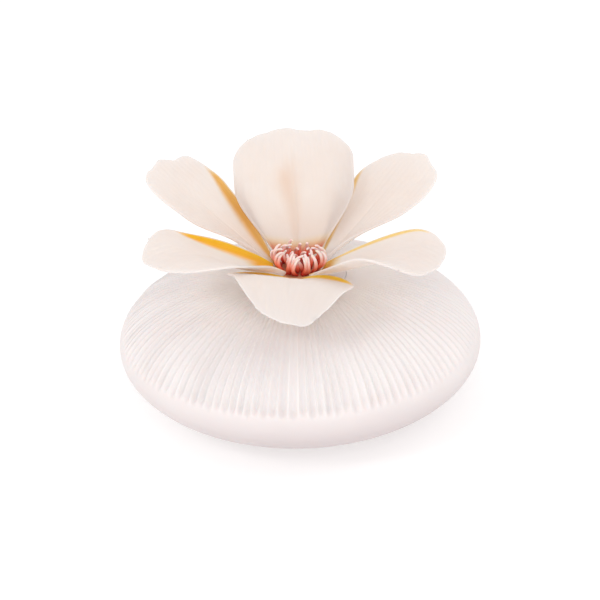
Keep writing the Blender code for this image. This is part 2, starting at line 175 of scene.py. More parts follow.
# Waves in the tip's outline, each (radians from the middle to a margin, share of the petal's wave, share
# of its phase), and ripples in the margins, which start at one place and are full at the other.
TIP_WAVES = ((5.3, 1.0, 1.0), (9.1, 0.6, 1.7), (23.0, 0.12, 1.0))
WAVES_FROM = 0.6
RIPPLE_HEIGHT = 0.0006
RIPPLES_ALONG = 7.0
RIPPLES_ACROSS = 2.0
RIPPLES_FROM, RIPPLES_FULL = 0.3, 0.8

# How much thinner the rim is, as a share, and how sharply it thins across and along the petal.
RIM_THINS = 0.30
RIM_THINS_ACROSS, RIM_THINS_ALONG = 5, 7

# What stands out of a petal's upper face: a creased valley along its middle, fine veins and a broad
# swell. Each starts, and the crease ends, between two places along the petal.
CREASE_WIDTH = 0.16
CREASE_WANDER = 0.03
CREASE_BENDS = 5
CREASE_LINE_DEPTH = 0.00012
CREASE_LINE_WIDTH = 0.02
CREASE_STARTS, CREASE_ENDS = (0.02, 0.2), (0.55, 0.95)
VEIN_HEIGHT = 0.00004
VEIN_RATE = 46
VEIN_WANDER, VEIN_BENDS = 3.0, 2.1
VEINS_START = (0.25, 0.6)
SWELL_HEIGHT = 0.0003
SWELLS_ACROSS, SWELLS_ALONG = 6.0, 5.0
SWELL_STARTS = (0.2, 0.5)

# Painted shade: how far the body darkens towards a petal's tip, and from where.
TIP_PAINTED_SHADE = 0.6
TIP_PAINTED_SHADE_FROM = 0.4

# Painted shade beside the crease, where its valley is in shade: its width, how far to one side it lies and
# drifts, where it drifts, how strong it is before that, and where it ends. Then the painted shade deep in
# the hollow at the roots: how far it reaches, and how strongly.
CREASE_PAINTED_SHADE_WIDTH = 0.16
CREASE_PAINTED_SHADE_SIDE = 0.04
CREASE_PAINTED_SHADE_DRIFT = 0.10
CREASE_PAINTED_SHADE_DRIFTS = (0.3, 0.6)
CREASE_PAINTED_SHADE_INNER_SHARE = 0.7
CREASE_PAINTED_SHADE_ENDS = (0.56, 0.80)
ROOT_PAINTED_SHADE_END = 0.6
ROOT_PAINTED_SHADE = {"petal_back": 0.30, "petal_back_left": 0.70, "petal_left": 0.20, "petal_front": 0.20}

# The petals' forms, with angles in degrees, as in the CAD but for petal_front's cup, tip_cup and wave.
# The valley along the middle is crease deep, and crease_painted_shade is how strong the painted shade
# beside it is.
DEFAULT_FORM = {
    "lift": 3.0, "bend_from": 0.50, "bend_to": 1.10, "roll": -2.0, "skew": 0.0, "claw_cup": 75.0,
    "open_by": 0.62, "taper_from": 0.72, "round_from": 0.66, "squareness": 2.6, "wave": 0.012,
    "root_height": OUTER_WHORL_HEIGHT, "crease": 0.0003, "crease_painted_shade": 0.0,
}
PETALS = {
    "petal_back": {
        "azimuth": 91, "rise": 42, "droop": 27, "length": 0.91, "width": 1.00,
        "root": -0.36, "full": 0.48, "taper": 0.12, "rounding": 0.04, "claw_cup": 50.0,
        "cup": 24, "tip_cup": 6, "phase": 0.3, "root_height": INNER_WHORL_HEIGHT, "wave": 0.015,
        "round_from": 0.60, "squareness": 3.2, "crease": 0.0020, "crease_painted_shade": 0.75,
    },
    "petal_back_left": {
        "azimuth": 156, "rise": 35.5, "droop": -3, "length": 0.96, "width": 0.86,
        "root": -0.15, "full": 0.80, "taper": 0.04, "rounding": 0.02,
        "cup": 10, "tip_cup": 1, "phase": 1.0, "roll": 2.0, "skew": 0.05, "wave": 0.014,
        "round_from": 0.70, "squareness": 4.0,
    },
    "petal_back_right": {
        "azimuth": 32, "rise": 33, "droop": -5, "length": 0.93, "width": 0.88,
        "root": -0.13, "full": 0.80, "taper": 0.03, "rounding": 0.03, "squareness": 3.6,
        "cup": 6, "tip_cup": -4, "phase": 2.0, "roll": -4.0, "skew": -0.04, "wave": 0.014,
    },
    "petal_left": {
        "azimuth": 213, "rise": 27, "droop": 47, "length": 0.96, "width": 0.95,
        "root": -0.32, "full": 0.74, "taper": 0.08, "rounding": 0.08, "claw_cup": 54.0,
        "cup": 15, "tip_cup": 10, "phase": 3.0, "bend_from": 0.46, "roll": 2.0, "wave": 0.010,
        "root_height": INNER_WHORL_HEIGHT, "round_from": 0.60,
    },
    "petal_right": {
        "azimuth": 326, "rise": 25.5, "droop": 47, "length": 0.90, "width": 0.93,
        "root": -0.34, "full": 0.66, "taper": 0.04, "rounding": 0.06, "claw_cup": 30.0,
        "cup": 24, "tip_cup": 12, "phase": 4.0, "bend_to": 1.05, "lift": 0.0, "roll": -6.0,
        "root_height": INNER_WHORL_HEIGHT, "wave": 0.010, "round_from": 0.62,
    },
    "petal_front": {
        "azimuth": 265, "rise": 27.5, "droop": 75, "length": 0.90, "width": 1.00,
        "root": -0.06, "full": 0.48, "taper": 0.46, "rounding": 0.04, "taper_from": 0.44, "skew": 0.05,
        "claw_cup": 37.0, "open_by": 0.50, "cup": -4, "tip_cup": -11, "phase": 5.0,
        "bend_from": 0.40, "bend_to": 1.00, "roll": -7.0, "wave": 0.009, "round_from": 0.74,
    },
}
# The ochre in a petal's claw is painted shade, the deep warm shade in its curled margins: the margin each
# runs along (-1 or 1), its colour, where along the petal it starts and ends, and how far in from the margin
# it reaches.
MARGIN_PAINTED_SHADES = {
    "petal_back_left": [(-1, (0.60, 0.28, 0.04), -0.80, 0.90, 0.60)],
    "petal_back_right": [(1, (0.62, 0.35, 0.11), -0.80, 0.84, 0.36)],
    "petal_left": [(-1, (0.88, 0.32, 0.002), -0.35, 0.68, 0.56)],
    "petal_right": [(1, (0.86, 0.45, 0.12), -0.50, 0.86, 0.15)],
    "petal_front": [
        (-1, (0.88, 0.35, 0.005), -0.15, 0.52, 0.65),
        (1, (0.92, 0.40, 0.005), -0.15, 0.48, 0.45),
    ],
}
# The painted shade fades across its inner edge, in shares of its reach, along its last part and at the rim.
MARGIN_SHADE_EDGE = (0.55, 1.25)
MARGIN_SHADE_LAST_PART = 0.8
MARGIN_SHADE_RIM = (-0.02, 0.03)
UNSHADED_COLOUR = (0.8, 0.5, 0.1)
LEAST_REACH = 1e-4
LEAST_AMOUNT = 1e-3
# Painted shade right across a petal's throat, the deep warm shade by the stamens: its colour, and where
# along the petal it fades out.
THROAT_PAINTED_SHADES = {
    "petal_back": ((0.52, 0.13, 0.08), 0.02, 0.15),
    "petal_back_left": ((0.42, 0.20, 0.04), 0.00, 0.10),
    "petal_back_right": ((0.42, 0.20, 0.04), 0.00, 0.08),
    "petal_left": ((0.84, 0.31, 0.004), 0.10, 0.26),
    "petal_right": ((0.55, 0.26, 0.03), 0.03, 0.15),
    "petal_front": ((0.60, 0.25, 0.02), 0.02, 0.12),
}

# The stamens: oval strands that taper, bulge a little and have round tips.
STRAND_THICK_RADIUS = 0.00074
STRAND_TIP_SHARE = 0.64
STRAND_BULGE = 0.12
STRAND_FLATTEN = 0.8
STRAND_TIP_FROM, STRAND_TIP_LENGTH, STRAND_TIP_LEAST = 0.94, 0.062, 0.06
STRAND_STEPS = 26
STRAND_SIDES = 12
PATH_STEPS = 12

# How much they differ, as the spread of random draws, and how the whole cluster stands off the axis.
STRAND_SEED = 11
STRAND_STRETCH = 0.10
STRAND_LEAN = 0.0009
STRAND_SWAY = 0.0017
STRAND_SWAY_POWER = 1.5
STRAND_CURL = 0.0008
STRAND_SPREAD = 0.06
CLUSTER_SHIFT = 0.0005
CLUSTER_LEAN = 0.0006

# Some of those at the two sides of the cluster, by the cosine of their azimuth, reach further out.
OUTLIER_FROM = 0.85
OUTLIER_SHARE = 0.5
OUTLIER_REACH = 0.0018
OUTLIER_RISES = (0.1, 0.8)

# Their two rings, each path as (distance from the axis, height) pairs.
OUTER_PATH = (
    (0.0072, 0.0555), (0.0075, 0.0562), (0.0086, 0.0576), (0.0090, 0.0590),
    (0.0086, 0.0608), (0.0074, 0.0621), (0.0059, 0.0625),
)
INNER_PATH = (
    (0.0044, 0.0555), (0.0045, 0.0563), (0.0048, 0.0578),
    (0.0047, 0.0594), (0.0042, 0.0606), (0.0035, 0.0612),
)

# The range of roughness of unglazed porcelain.
PORCELAIN_ROUGHNESS = (0.48, 0.62)

# The camera: a long lens that looks down at the flower, turned a little about its own axis.
CAMERA_DISTANCE = 1.0
CAMERA_ELEVATION = 27.5
CAMERA_ROLL = -1.6
CAMERA_LENS = 154.3
CAMERA_AIM = (0.0004, 0.0, 0.0414)

# The light: a pale room, an overlit floor and square soft boxes, each (name, place, side, power in
# watts), that face SOFTBOX_TARGET.
WORLD_COLOUR = (1.0, 0.97, 0.965)
WORLD_STRENGTH = 0.88
FLOOR_GLOW = 0.40
FLOOR_COLOUR = (0.69, 0.69, 0.69)
FLOOR_REACH = 4.0
SOFTBOX_TARGET = (0.0, 0.0, 0.04)
SOFTBOXES = (
    ("key", (-0.85, -0.75, 0.95), 0.35, 2.2),
    ("fill", (0.12, -1.15, 0.75), 0.50, 3.0),
    ("rim", (0.85, 0.0, 0.95), 0.7, 0.9),
)


# ---- shapes


def smoothstep(value, low, high):
    """0 below low and 1 above high, with a smooth rise between them."""
    share = np.clip((value - low) / (high - low), 0.0, 1.0)
    return share * share * (3.0 - 2.0 * share)


def unit(vectors):
    return vectors / np.maximum(np.linalg.norm(vectors, axis=-1, keepdims=True), TINY)


def full_turn(steps):
    """Angles evenly spaced round a full turn."""
    return np.linspace(0.0, math.tau, steps, endpoint=False)


def sum_waves(places, waves):
    """The sum of sine waves, each (rate, height, phase), at these places."""
    return sum(height * np.sin(rate * places + phase) for rate, height, phase in waves)


def add_object(name, data):
    added = bpy.data.objects.new(name, data)
    bpy.context.scene.collection.objects.link(added)
    return added


def add_piece(node, points, faces, body, material):
    """A closed smooth mesh that rides on the body and stands for the CAD node."""
    mesh = bpy.data.meshes.new(f"{node}_form")
    mesh.from_pydata(points, [], faces)
    shape = bmesh.new()
    shape.from_mesh(mesh)
    bmesh.ops.recalc_face_normals(shape, faces=shape.faces)
    shape.to_mesh(mesh)
    shape.free()
    mesh.shade_smooth()
    mesh.materials.append(material)
    piece = add_object(f"{node}_form", mesh)
    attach(piece, body)
    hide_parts(node)
    return piece


def store(piece, name, values, kind="FLOAT", field="value"):
    """Keeps one number, or one colour, for each vertex on the mesh, for the material to read."""
    layer = piece.data.attributes.new(name, kind, "POINT")
    layer.data.foreach_set(field, np.asarray(values, np.float32).ravel())


def number_rings(count, size):
    """The vertex numbers of rings that follow each other, all of one size."""
    return np.arange(count * size).reshape(count, size).tolist()


def join_rings(rings):
    """Quads between each closed ring of vertex numbers and the next."""
    faces = []
    for first, second in zip(rings, rings[1:]):
        for index in range(len(first)):
            after = (index + 1) % len(first)
            faces.append((first[index], first[after], second[after], second[index]))
    return faces


def revolve(radii, heights, centre=(0.0, 0.0)):
    """Points and faces from rows of radii and heights, one column for each step round the axis.

    Where the first and last radii are nothing it closes in points, and otherwise it is a ring.
    """
    columns = radii.shape[1]
    solid = radii[0, 0] < TINY
    angles = full_turn(columns)
    grid = np.stack(
        [centre[0] + radii * np.cos(angles), centre[1] + radii * np.sin(angles), heights], axis=-1
    )
    used = grid[1:-1] if solid else grid
    points = used.reshape(-1, 3).tolist()
    rings = number_rings(len(used), columns)
    if not solid:
        return points, join_rings([*rings, rings[0]])
    faces = join_rings(rings)
    for ring, pole in ((rings[0], grid[0, 0]), (rings[-1], grid[-1, 0])):
        points.append(pole.tolist())
        tip = len(points) - 1
        faces += [(ring[i], ring[(i + 1) % columns], tip) for i in range(columns)]
    return points, faces


def rounded(profile, radius, closed=False, steps=4):
    """The profile with its corners rounded, apart from its two ends unless it is closed."""
    corners = [np.array(point, float) for point in profile]
    befores, middles, afters = corners[:-2], corners[1:-1], corners[2:]
    if closed:
        befores, middles, afters = [corners[-1]] + corners[:-1], corners, corners[1:] + [corners[0]]
    made = []
    for before, corner, after in zip(befores, middles, afters):
        back, on = before - corner, after - corner
        reach = min(radius, MOST_OF_EDGE * np.linalg.norm(back), MOST_OF_EDGE * np.linalg.norm(on))
        start, end = corner + unit(back) * reach, corner + unit(on) * reach
        for share in np.linspace(0.0, 1.0, steps + 1):
            made.append((1 - share) ** 2 * start + 2 * share * (1 - share) * corner + share**2 * end)
    if closed:
        return np.array(made)
    return np.array([corners[0], *made, corners[-1]])


def turned(node, profile, body, material, steps=96, centre=(0.0, 0.0)):
    """A body of revolution from its (radius, height) profile."""
    profile = np.asarray(profile, float)
    radii = np.repeat(profile[:, :1], steps, axis=1)
    heights = np.repeat(profile[:, 1:], steps, axis=1)
    points, faces = revolve(radii, heights, centre)
    return add_piece(node, points, faces, body, material)


# ---- the flask


def ellipse_arc(radius, half_height, angles):
    return [
        (radius * math.cos(angle), BELLY_HEIGHT + half_height * math.sin(angle)) for angle in angles
    ]


def flute_depth(angle_up, turn):
    """How deep the surface is cut, for places up the dome and round it."""
    radius = VESSEL_RADIUS * np.cos(angle_up)
    above_belly = VESSEL_HALF_HEIGHT * np.sin(angle_up)
    place = turn * FLUTES / math.tau + sum_waves(turn, SPACING_WAVES)
    number = np.floor(place)
    across = 2.0 * np.abs(place - number - 0.5)
    hollow = 1.0 - across**2
    depth = FLUTE_DEPTH * (radius / FLUTE_FULL_RADIUS) ** FLUTE_FADE_POWER
    depth = depth * (FLUTE_MEAN + FLUTE_VARIES * np.cos(turn - math.radians(FLUTE_DEEPEST)))
    depth = depth * (1.0 + sum_waves(number, DEPTH_WAVES))
    lowest = FLUTE_END_HEIGHT * (1.0 + sum_waves(number, END_WAVES)) + FLUTE_END_ROUNDING * across**2
    away = (1.0 - np.cos(turn - math.radians(FLUTE_END_CRISPEST))) / 2.0
    length = FLUTE_END_LENGTH * (1.0 + FLUTE_END_FADES * away)
    ends = smoothstep(above_belly, lowest, lowest + length)
    starts = smoothstep(radius - RECESS_EDGE_RADIUS, *FLUTE_STARTS)
    return depth * hollow * ends * starts


def build_flask(material):
    """The slip-cast flask: its outer skin is cut by the flutes, and its inside follows the CAD."""
    columns = FLUTES * COLUMNS_PER_FLUTE
    inner_radius = VESSEL_RADIUS - WALL
    inner_half_height = VESSEL_HALF_HEIGHT - WALL
    recess_ceiling = FOOT_HEIGHT + FOOT_RECESS
    floor = recess_ceiling + WALL
    floor_angle = math.asin((floor - BELLY_HEIGHT) / inner_half_height)
    root_angle = math.acos(COLLAR_ROOT_RADIUS / inner_radius)
    neck_angle = math.acos(RECESS_EDGE_RADIUS / VESSEL_RADIUS)
    foot_angle = math.asin((FOOT_EDGE_HEIGHT - BELLY_HEIGHT) / VESSEL_HALF_HEIGHT)
    inside = [(0.0, floor)] + ellipse_arc(
        inner_radius, inner_half_height, np.linspace(floor_angle, root_angle, INSIDE_ROWS)
    )
    neck = [
        inside[-1],
        (COLLAR_RADIUS, COLLAR_BOTTOM + COLLAR_STRAIGHT),
        (COLLAR_RADIUS, COLLAR_BOTTOM),
        (BORE_RADIUS, COLLAR_BOTTOM),
        (BORE_RADIUS, SEAT_HEIGHT),
        (RECESS_RADIUS, SEAT_HEIGHT),
        (RECESS_RADIUS, BELLY_HEIGHT + VESSEL_HALF_HEIGHT * math.sin(neck_angle)),
        ellipse_arc(VESSEL_RADIUS, VESSEL_HALF_HEIGHT, [neck_angle - NECK_RUN])[0],
    ]
    foot = [
        ellipse_arc(VESSEL_RADIUS, VESSEL_HALF_HEIGHT, [foot_angle])[0],
        (FOOT_OUTER_RADIUS, FOOT_HEIGHT),
        (FOOT_INNER_RADIUS, FOOT_HEIGHT),
        (FOOT_INNER_RADIUS - FOOT_RECESS, recess_ceiling),
        (0.0, recess_ceiling),
    ]
    neck = rounded(neck, EDGE_ROUNDING, steps=2)
    foot = rounded(foot, EDGE_ROUNDING, steps=2)
    dome_rows = np.linspace(neck_angle - SKIN_FROM_NECK, math.radians(DOME_ROWS_TO), DOME_ROWS)
    end_rows = np.linspace(math.radians(FLUTE_END_ROWS_FROM), 0.0, FLUTE_END_ROWS)
    low_rows = np.linspace(math.radians(LOW_ROWS_FROM), foot_angle + SKIN_FROM_FOOT, LOW_ROWS)
    up = np.concatenate([dome_rows, end_rows, low_rows])[:, None]
    turn = full_turn(columns)[None, :]
    normal_out = np.cos(up) / VESSEL_RADIUS
    normal_up = np.sin(up) / VESSEL_HALF_HEIGHT
    length = np.hypot(normal_out, normal_up)
    depth = flute_depth(up, turn)
    skin_radii = VESSEL_RADIUS * np.cos(up) - depth * normal_out / length
    skin_heights = BELLY_HEIGHT + VESSEL_HALF_HEIGHT * np.sin(up) - depth * normal_up / length
    before = np.array(inside[:-1] + neck[:-1].tolist())
    spread = np.ones((1, columns))
    radii = np.concatenate([before[:, :1] * spread, skin_radii, foot[:, :1] * spread])
    heights = np.concatenate([before[:, 1:] * spread, skin_heights, foot[:, 1:] * spread])
    points, faces = revolve(radii, heights)
    piece = add_piece("vessel", points, faces, "vessel", material)
    places = np.array(points)
    # Painted shade below the belly, strongest on one side, and painted warm light round the neck.
    around = np.arctan2(places[:, 1], places[:, 0])
    towards = UNDERSIDE_SHADE_MEAN + UNDERSIDE_SHADE_VARIES * np.cos(around - math.radians(UNDERSIDE_SHADE_SIDE))
    store(piece, "low", np.clip(towards, 0.0, 1.0) * (1.0 - smoothstep(places[:, 2], *UNDERSIDE_SHADE_HEIGHTS)))
    store(piece, "neck", 1.0 - smoothstep(np.hypot(places[:, 0], places[:, 1]), *NECK_PAINTED_LIGHT_RADII))


def build_pads(material):
    """Felt pads with a soft edge, each where its CAD pad is."""
    for index in range(1, PAD_COUNT + 1):
        low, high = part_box(f"foot_pad_{index}")
        radius = (high.x - low.x) / 2
        corners = [(0.0, high.z), (radius, high.z), (radius, low.z), (0.0, low.z)]
        profile = rounded(corners, PAD_ROUNDING)
        middle = (low + high) / 2
        centre = (middle.x, middle.y)
        turned(f"foot_pad_{index}", profile, "vessel", material, PAD_SIDES, centre)


# ---- stopper, seals and wick


def build_stopper(material):
    """The plug with its two seal grooves, and the flange that the flower stands on."""
    low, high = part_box("stopper")
    flange_bottom = SEAT_HEIGHT + GAP
    flange_radius = RECESS_RADIUS - FLANGE_GAP
    profile = [
        (SOCKET_RADIUS, high.z),
        (flange_radius, high.z),
        (flange_radius, flange_bottom),
        (PLUG_RADIUS, flange_bottom),
    ]
    for middle in GROOVE_HEIGHTS:
        upper, lower = middle + GROOVE_HALF_HEIGHT, middle - GROOVE_HALF_HEIGHT
        profile += [(PLUG_RADIUS, upper), (GROOVE_RADIUS, upper)]
        profile += [(GROOVE_RADIUS, lower), (PLUG_RADIUS, lower)]
    profile += [
        (PLUG_RADIUS, low.z),
        (SLEEVE_BORE_RADIUS, low.z),
        (SLEEVE_BORE_RADIUS, SOCKET_BOTTOM),
        (SOCKET_RADIUS, SOCKET_BOTTOM),
    ]
    turned("stopper", rounded(profile, EDGE_ROUNDING, True), "stopper", material)


def build_seals(material):
    """Round soft rings, each where its CAD ring is."""
    for node in ("seal_ring_lower", "seal_ring_upper"):
        low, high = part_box(node)
        thick = (high.z - low.z) / 2
        middle = (low.z + high.z) / 2
        profile = [
            (high.x - thick + thick * math.cos(angle), middle - thick * math.sin(angle))
            for angle in full_turn(SEAL_SIDES)
        ]
        turned(node, profile, "stopper", material)


def build_sleeve(material):
    """The tube that holds the wick, with a flange under the plug."""
    low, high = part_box("wick_sleeve")
    flange_top = low.z + SLEEVE_FLANGE_THICKNESS
    profile = [
        (SLEEVE_INNER_RADIUS, high.z),
        (SLEEVE_RADIUS, high.z),
        (SLEEVE_RADIUS, flange_top),
        (high.x, flange_top),
        (high.x, low.z),
        (SLEEVE_INNER_RADIUS, low.z),
    ]
    turned("wick_sleeve", rounded(profile, SLEEVE_ROUNDING, True), "stopper", material)


def build_wick(material):
    """A rope of twisted strands of cotton, which taper together at its two ends."""
    low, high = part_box("wick")
    heights = np.linspace(high.z, low.z, WICK_ROWS)
    twist = WICK_STRANDS * full_turn(WICK_SIDES)[None, :] + math.tau * heights[:, None] / WICK_TWIST
    between_strands = (1.0 - np.abs(np.cos(twist / 2.0))) ** WICK_GROOVE_POWER
    radii = high.x * (1.0 - WICK_GROOVE * between_strands)
    from_end = np.minimum(heights - low.z, high.z - heights)
    radii *= np.sqrt(smoothstep(from_end, *WICK_ENDS))[:, None]
    pole = np.zeros((1, WICK_SIDES))
    radii = np.concatenate([pole, radii, pole])
    heights = np.concatenate([[high.z], heights, [low.z]])[:, None] * np.ones((1, WICK_SIDES))
    points, faces = revolve(radii, heights)
    add_piece("wick", points, faces, "stopper", material)


# ---- the flower


def petal_spine(form):
    """Places along the petal, with the spine's slope, distance from the axis and height there."""
    places = np.linspace(0.0, OVERRUN, SPINE_STEPS)
    slope = np.radians(
        form["rise"]
        + form["lift"] * smoothstep(places, 0.0, LIFT_BY)
        - form["droop"] * smoothstep(places, form["bend_from"], form["bend_to"])
    )
    step = PETAL_LENGTH * form["length"] * places[1]
    outwards = PETAL_ROOT_RADIUS + np.concatenate([[0.0], np.cumsum(np.cos(slope[:-1])) * step])
    upwards = form["root_height"] + np.concatenate([[0.0], np.cumsum(np.sin(slope[:-1])) * step])
    return places, slope, outwards, upwards


def petal_width(form, along):
    """Half the petal's width, measured round its curved cross-section."""
    growth = smoothstep(along, form["root"], form["full"])
    past = np.clip((along - form["taper_from"]) / (1.0 - form["taper_from"]), 0.0, 1.0)
    return PETAL_HALF_WIDTH * form["width"] * growth * (1.0 - form["taper"] * past**TAPER_POWER)


def petal_bend(form, along):
    """Half the angle that the cross-section bends through: a deep channel at the claw."""
    past_claw = smoothstep(along, 0.0, form["open_by"])
    near_tip = smoothstep(along, TIP_CUP_FROM, 1.0)
    middle = form["cup"] * (1.0 - near_tip) + form["tip_cup"] * near_tip
    bend = np.radians(form["claw_cup"] * (1.0 - past_claw) + middle * past_claw)
    return np.where(np.abs(bend) < LEAST_BEND, LEAST_BEND, bend)


def petal_relief(form, along, across):
    """Folds and veins that stand a little out of the petal's upper face."""
    phase = form["phase"]
    off_crease = np.abs(across + CREASE_WANDER * np.sin(CREASE_BENDS * along + phase))
    crease = -form["crease"] * np.exp(-off_crease / CREASE_WIDTH)
    crease -= CREASE_LINE_DEPTH * np.exp(-((off_crease / CREASE_LINE_WIDTH) ** 2))
    crease *= smoothstep(along, *CREASE_STARTS) * (1.0 - smoothstep(along, *CREASE_ENDS))
    wander = VEIN_WANDER * np.sin(VEIN_BENDS * along + phase)
    veins = VEIN_HEIGHT * np.sin(VEIN_RATE * across + wander + phase)
    veins *= smoothstep(along, *VEINS_START)
    swell = SWELL_HEIGHT * np.sin(SWELLS_ACROSS * across + phase) * np.sin(SWELLS_ALONG * along + 2 * phase)
    swell *= smoothstep(along, *SWELL_STARTS)
    return crease + veins + swell


def round_tip(form, along, across):
    """Draws the far corners of the petal in, so that the outline of its tip is round."""
    start = form["round_from"]
    past = np.clip((along - start) / (1.0 - start), 0.0, 1.0)
    side = np.abs(across)
    share = np.minimum(past, side) / np.maximum(np.maximum(past, side), TINY)
    shrink = (1.0 + share ** form["squareness"]) ** (-1.0 / form["squareness"])
    return np.minimum(along, start) + past * shrink * (1.0 - start), across * shrink


def petal_points(form, along, across):
    """Where a petal's upper face lies, for places along it (0 to 1) and across it (-1 to 1)."""
    phase = form["phase"]
    along, across = round_tip(form, along, across)
    half_width = petal_width(form, along)
    bend = petal_bend(form, along)
    sideways = half_width * np.sin(across * bend) / bend
    raised = half_width * (1.0 - np.cos(across * bend)) / bend
    ripples = np.sin(RIPPLES_ALONG * along + RIPPLES_ACROSS * across + phase) * across**2
    raised += RIPPLE_HEIGHT * ripples * smoothstep(along, RIPPLES_FROM, RIPPLES_FULL)
    raised += petal_relief(form, along, across)
    tip_waves = sum(height * np.sin(rate * across + shift * phase) for rate, height, shift in TIP_WAVES)
    fall = form["rounding"] * np.abs(across) ** ROUNDING_POWER
    reach = along - fall * smoothstep(along, ROUNDING_FROM, 1.0)
    reach += form["wave"] * tip_waves * smoothstep(along, WAVES_FROM, 1.0)
    reach += form["skew"] * across * smoothstep(along, SKEW_FROM, 1.0)
    roll = math.radians(form["roll"]) * smoothstep(along, 0.0, ROLL_BY)
    sideways, raised = (
        sideways * np.cos(roll) - raised * np.sin(roll),
        sideways * np.sin(roll) + raised * np.cos(roll),
    )
    places, slopes, outwards, upwards = petal_spine(form)
    slope = np.interp(reach, places, slopes)
    radius = np.interp(reach, places, outwards) - np.sin(slope) * raised
    height = np.interp(reach, places, upwards) + np.cos(slope) * raised
    azimuth = math.radians(form["azimuth"])
    x = radius * math.cos(azimuth) - sideways * math.sin(azimuth)
    y = radius * math.sin(azimuth) + sideways * math.cos(azimuth)
    return np.stack([x, y, height], axis=-1)


def shell(upper, thickness):
    """Points and faces of a slab under a grid of points, with a rounded rim all round.

    Also gives, for each point, the row and column of the grid that it comes from and how far round
    from the upper face (0) to the underside (1) it lies.
    """
    rows, columns = upper.shape[:2]
    normals = unit(np.cross(np.gradient(upper, axis=0), np.gradient(upper, axis=1)))
    normals *= np.sign(normals[rows // 2, columns // 2, 2])
    edge = [(0, j) for j in range(columns)]
    edge += [(i, columns - 1) for i in range(1, rows)]
    edge += [(rows - 1, j) for j in range(columns - 2, -1, -1)]
    edge += [(i, 0) for i in range(rows - 2, 0, -1)]
    edge = np.array(edge)
    at_edge = tuple(edge.T)
    lower = upper - normals * thickness[..., None]
    middle = (upper + lower) / 2
    inwards = np.clip(edge, [1, 1], [rows - 2, columns - 2])
    here = middle[at_edge]
    normal = normals[at_edge]
    outward = unit(np.cross(np.roll(here, -1, axis=0) - np.roll(here, 1, axis=0), normal))
    from_inside = here - middle[tuple(inwards.T)]
    outward *= np.sign(np.sum(outward * from_inside, axis=1).sum())
    half = thickness[at_edge][:, None] / 2
    number = np.arange(rows * columns).reshape(rows, columns)
    points = [upper.reshape(-1, 3), lower.reshape(-1, 3)]
    origin = [np.indices((rows, columns)).reshape(2, -1).T] * 2
    side = [np.zeros(rows * columns), np.ones(rows * columns)]
    ring = number[at_edge]
    rings = [ring]
    for step in range(1, RIM_STEPS):
        angle = math.pi * step / RIM_STEPS
        points.append(here + half * (normal * math.cos(angle) + outward * math.sin(angle)))
        origin.append(edge)
        side.append(np.full(len(edge), step / RIM_STEPS))
        rings.append(2 * rows * columns + (step - 1) * len(edge) + np.arange(len(edge)))
    rings.append(ring + rows * columns)
    quads = np.stack(
        [number[:-1, :-1], number[1:, :-1], number[1:, 1:], number[:-1, 1:]], axis=-1
    ).reshape(-1, 4)
    faces = quads.tolist() + (quads[:, ::-1] + rows * columns).tolist()
    faces += join_rings([ring.tolist() for ring in rings])
    return np.concatenate(points).tolist(), faces, tuple(np.concatenate(origin).T), np.concatenate(side)


def painted_shade_colours(name, along, across, side):
    """The painted shade on the petal's upper face, in its curled margins and throat, as colours whose alpha
    says how strong it is.
    """
    upper = side < 0.5
    colours = np.zeros((len(along), 4))
    colours[:, :3] = UNSHADED_COLOUR
    for margin, colour, start, end, depth in MARGIN_PAINTED_SHADES.get(name, ()):
        inwards = 1.0 - margin * across
        reach = depth * np.sin(np.pi * np.clip((along - start) / (end - start), 0.0, 1.0))
        reach = np.maximum(reach, LEAST_REACH)
        amount = 1.0 - smoothstep(inwards, MARGIN_SHADE_EDGE[0] * reach, MARGIN_SHADE_EDGE[1] * reach)
        amount *= (1.0 - smoothstep(along, MARGIN_SHADE_LAST_PART * end, end)) * upper
        amount *= smoothstep(inwards, *MARGIN_SHADE_RIM)
        colours[:, :3] = np.where(amount[:, None] > LEAST_AMOUNT, colour, colours[:, :3])
        colours[:, 3] = np.maximum(colours[:, 3], amount)
    colour, start, end = THROAT_PAINTED_SHADES[name]
    throat = (1.0 - smoothstep(along, start, end)) * upper
    colours[:, :3] += (np.array(colour) - colours[:, :3]) * throat[:, None]
    colours[:, 3] = np.maximum(colours[:, 3], throat)
    return colours


